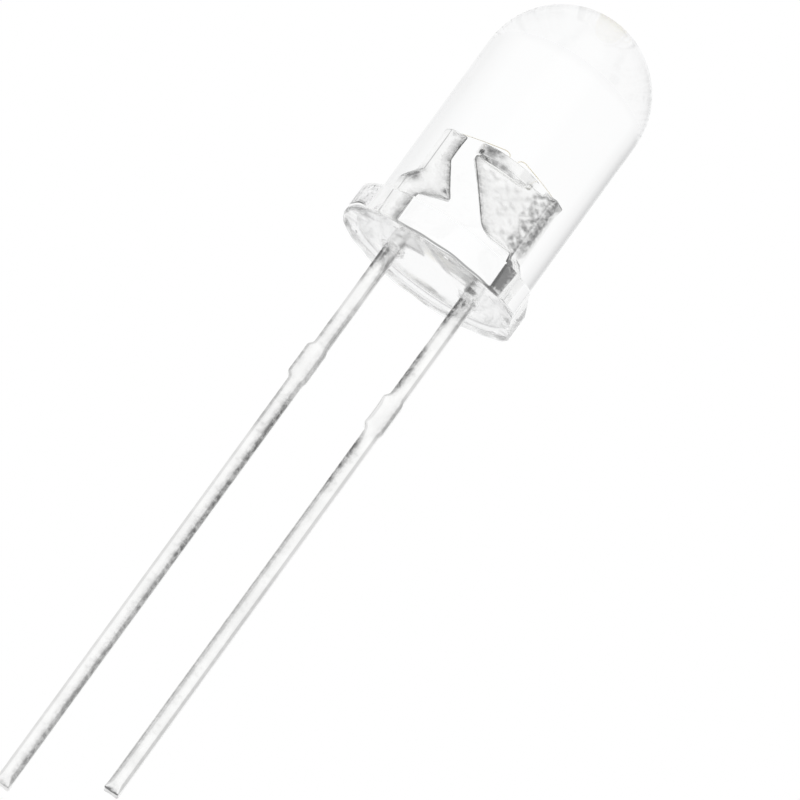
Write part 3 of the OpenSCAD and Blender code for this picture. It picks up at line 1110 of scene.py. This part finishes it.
def addCamera():
    tilt, roll, aside = (np.radians(view[key]) for key in ("below", "roll", "aside"))
    ahead = np.array([-np.sin(aside), np.cos(aside), 0])
    zenith = np.array([0, 0, 1])
    forward = np.cos(tilt) * ahead + np.sin(tilt) * zenith
    plainUp = np.cos(tilt) * zenith - np.sin(tilt) * ahead
    plainRight = np.array([np.cos(aside), np.sin(aside), 0])
    up = np.cos(roll) * plainUp - np.sin(roll) * plainRight
    right = np.cos(roll) * plainRight + np.sin(roll) * plainUp
    middle = photoSide / 2
    scale = mm / view["pixelsPerMm"]
    target = right * (middle - view["originAt"][0]) * scale - up * (middle - view["originAt"][1]) * scale
    data = bpy.data.cameras.new("camera")
    data.sensor_width = view["sensor"]
    data.lens = view["distance"] * view["sensor"] / (photoSide * scale)
    data.clip_start, data.clip_end = view["clip"]
    camera = bpy.data.objects.new("camera", data)
    bpy.context.collection.objects.link(camera)
    place = target - forward * view["distance"]
    columns = np.stack([right, up, -forward, place], -1)
    camera.matrix_world = Matrix([*columns.tolist(), [0, 0, 0, 1]])
    bpy.context.scene.camera = camera


addCamera()


# Studio: white all round for the camera, with grey cards that draw the edges of metal and resin

# Each list below holds directions round the part in degrees (0 behind it, 90 at its flat, 180 towards the
# camera) and the tone there. Heights are sines of the angle over the horizon.
studio = {
    "plain": 0.95,  # what lights the dull surfaces
    "cards": [  # grey cards at both sides that polished surfaces reflect
        (-158, 1.0), (-146, 0.82), (-58, 0.82), (-45, 1.0), (8, 1.0), (20, 0.72), (142, 0.72), (158, 1.0),
    ],
    "resinPlain": 0.97,
    "sides": [  # grey sides that resin sees near the horizon
        (-130, 1.0), (-112, 0.6), (-92, 0.5), (-80, 0.68), (-66, 0.92), (-52, 1.0), (25, 1.0), (37, 0.97),
        (50, 0.93), (60, 0.9), (80, 0.89), (115, 0.89), (125, 1.0),
    ],
    "sidesHeight": (0.03, 0.45),
    "sidesSoft": (0.06, 0.1),
    "strip": [  # share of the dark strip that resin sees higher up behind the part
        (-75, 0.0), (-50, 1.0), (20, 1.0), (30, 0.35), (48, 0.35), (55, 1.0), (70, 1.0), (78, 0.0),
    ],
    "stripHeight": (0.47, 0.67),
    "stripSoft": (0.1, 0.1),
    "stripTone": 0.36,
    "floorZ": -120 * mm,
    "floorSize": 4,
    "floorTone": (0.95, 0.95, 0.95, 1),
    "floorWhite": 0.85,  # how much of the floor's shadow the white hides
}


def compass(tree, place):
    # the parts of a point or direction, and where it lies round the part, from 0 to 1
    parts = node(tree, "ShaderNodeSeparateXYZ")
    tree.links.new(place, parts.inputs[0])
    turn = maths(tree, "ARCTAN2", parts.outputs[0], parts.outputs[1])
    return parts, mapped(tree, turn, -np.pi, np.pi)


def roundRamp(tree, turn, stops):
    return ramp(tree, turn, [((degrees + 180) / 360, tone) for degrees, tone in stops])


def heightRamp(tree, height, span, soft):
    # 1 between two heights, fading out below and above
    low, high = span
    return ramp(tree, height, [
        ((1 + low - soft[0]) / 2, 0.0), ((1 + low) / 2, 1.0),
        ((1 + high) / 2, 1.0), ((1 + high + soft[1]) / 2, 0.0),
    ])


def addWorld():
    # dull surfaces, polished ones, resin and the camera each see their own tones
    world = bpy.data.worlds.new("studio")
    bpy.context.scene.world = world
    world.use_nodes = True
    tree = world.node_tree
    tree.nodes.clear()
    out = node(tree, "ShaderNodeOutputWorld")
    light = node(tree, "ShaderNodeBackground", Strength=1)
    tree.links.new(light.outputs[0], out.inputs[0])
    coord = node(tree, "ShaderNodeTexCoord")
    parts, turn = compass(tree, coord.outputs["Generated"])
    height = mapped(tree, parts.outputs[2], -1, 1)
    sides = roundRamp(tree, turn, studio["sides"])
    nearHorizon = heightRamp(tree, height, studio["sidesHeight"], studio["sidesSoft"])
    behind = roundRamp(tree, turn, studio["strip"])
    overhead = heightRamp(tree, height, studio["stripHeight"], studio["stripSoft"])
    resinTone = mixTone(tree, studio["resinPlain"], sides, nearHorizon)
    resinTone = mixTone(tree, resinTone, studio["stripTone"], maths(tree, "MULTIPLY", overhead, behind))
    rays = node(tree, "ShaderNodeLightPath")
    cards = roundRamp(tree, turn, studio["cards"])
    shade = mixTone(tree, studio["plain"], cards, rays.outputs["Is Glossy Ray"])
    shade = mixTone(tree, shade, resinTone, rays.outputs["Is Transmission Ray"])
    shade = mixTone(tree, shade, 1.0, rays.outputs["Is Camera Ray"])
    tree.links.new(shade, light.inputs[0])


def addFloor():
    # white to camera, polished metal and resin but for a little of its shadow, and clear from below
    side, z = studio["floorSize"] / 2, studio["floorZ"]
    corners = [(-side, -side, z), (side, -side, z), (side, side, z), (-side, side, z)]
    mesh = bpy.data.meshes.new("floor")
    mesh.from_pydata(corners, [], [(0, 1, 2, 3)])
    floor = bpy.data.objects.new("floor", mesh)
    bpy.context.collection.objects.link(floor)
    material, tree, out = emptyMaterial("paleFloor")
    coord = node(tree, "ShaderNodeTexCoord")
    rays = node(tree, "ShaderNodeLightPath")
    kinds = ("Is Camera Ray", "Is Glossy Ray", "Is Transmission Ray")
    camera, glossy, through = (rays.outputs[kind] for kind in kinds)
    polished = maths(tree, "SUBTRACT", glossy, through, clamp=True)  # a refracted ray is glossy too
    cards = roundRamp(tree, compass(tree, coord.outputs["Object"])[1], studio["cards"])
    white = node(tree, "ShaderNodeEmission", Strength=1)
    tree.links.new(mixTone(tree, 1.0, cards, polished), white.inputs[0])
    matte = node(tree, "ShaderNodeBsdfDiffuse", Color=studio["floorTone"])
    clear = node(tree, "ShaderNodeBsdfTransparent")
    seen = maths(tree, "MAXIMUM", maths(tree, "MAXIMUM", camera, glossy), through)
    above = mixShader(tree, matte, white, maths(tree, "MULTIPLY", seen, studio["floorWhite"]))
    geometry = node(tree, "ShaderNodeNewGeometry")
    both = mixShader(tree, above, clear, geometry.outputs["Backfacing"])
    tree.links.new(both.outputs[0], out.inputs[0])
    mesh.materials.append(material)


addWorld()
addFloor()
scene = bpy.context.scene
scene.view_settings.view_transform = "Standard"
scene.cycles.max_bounces = 48  # light that runs round inside the casting still finds its way out
scene.cycles.transmission_bounces = 48
scene.cycles.glossy_bounces = 32
print("studio ready")
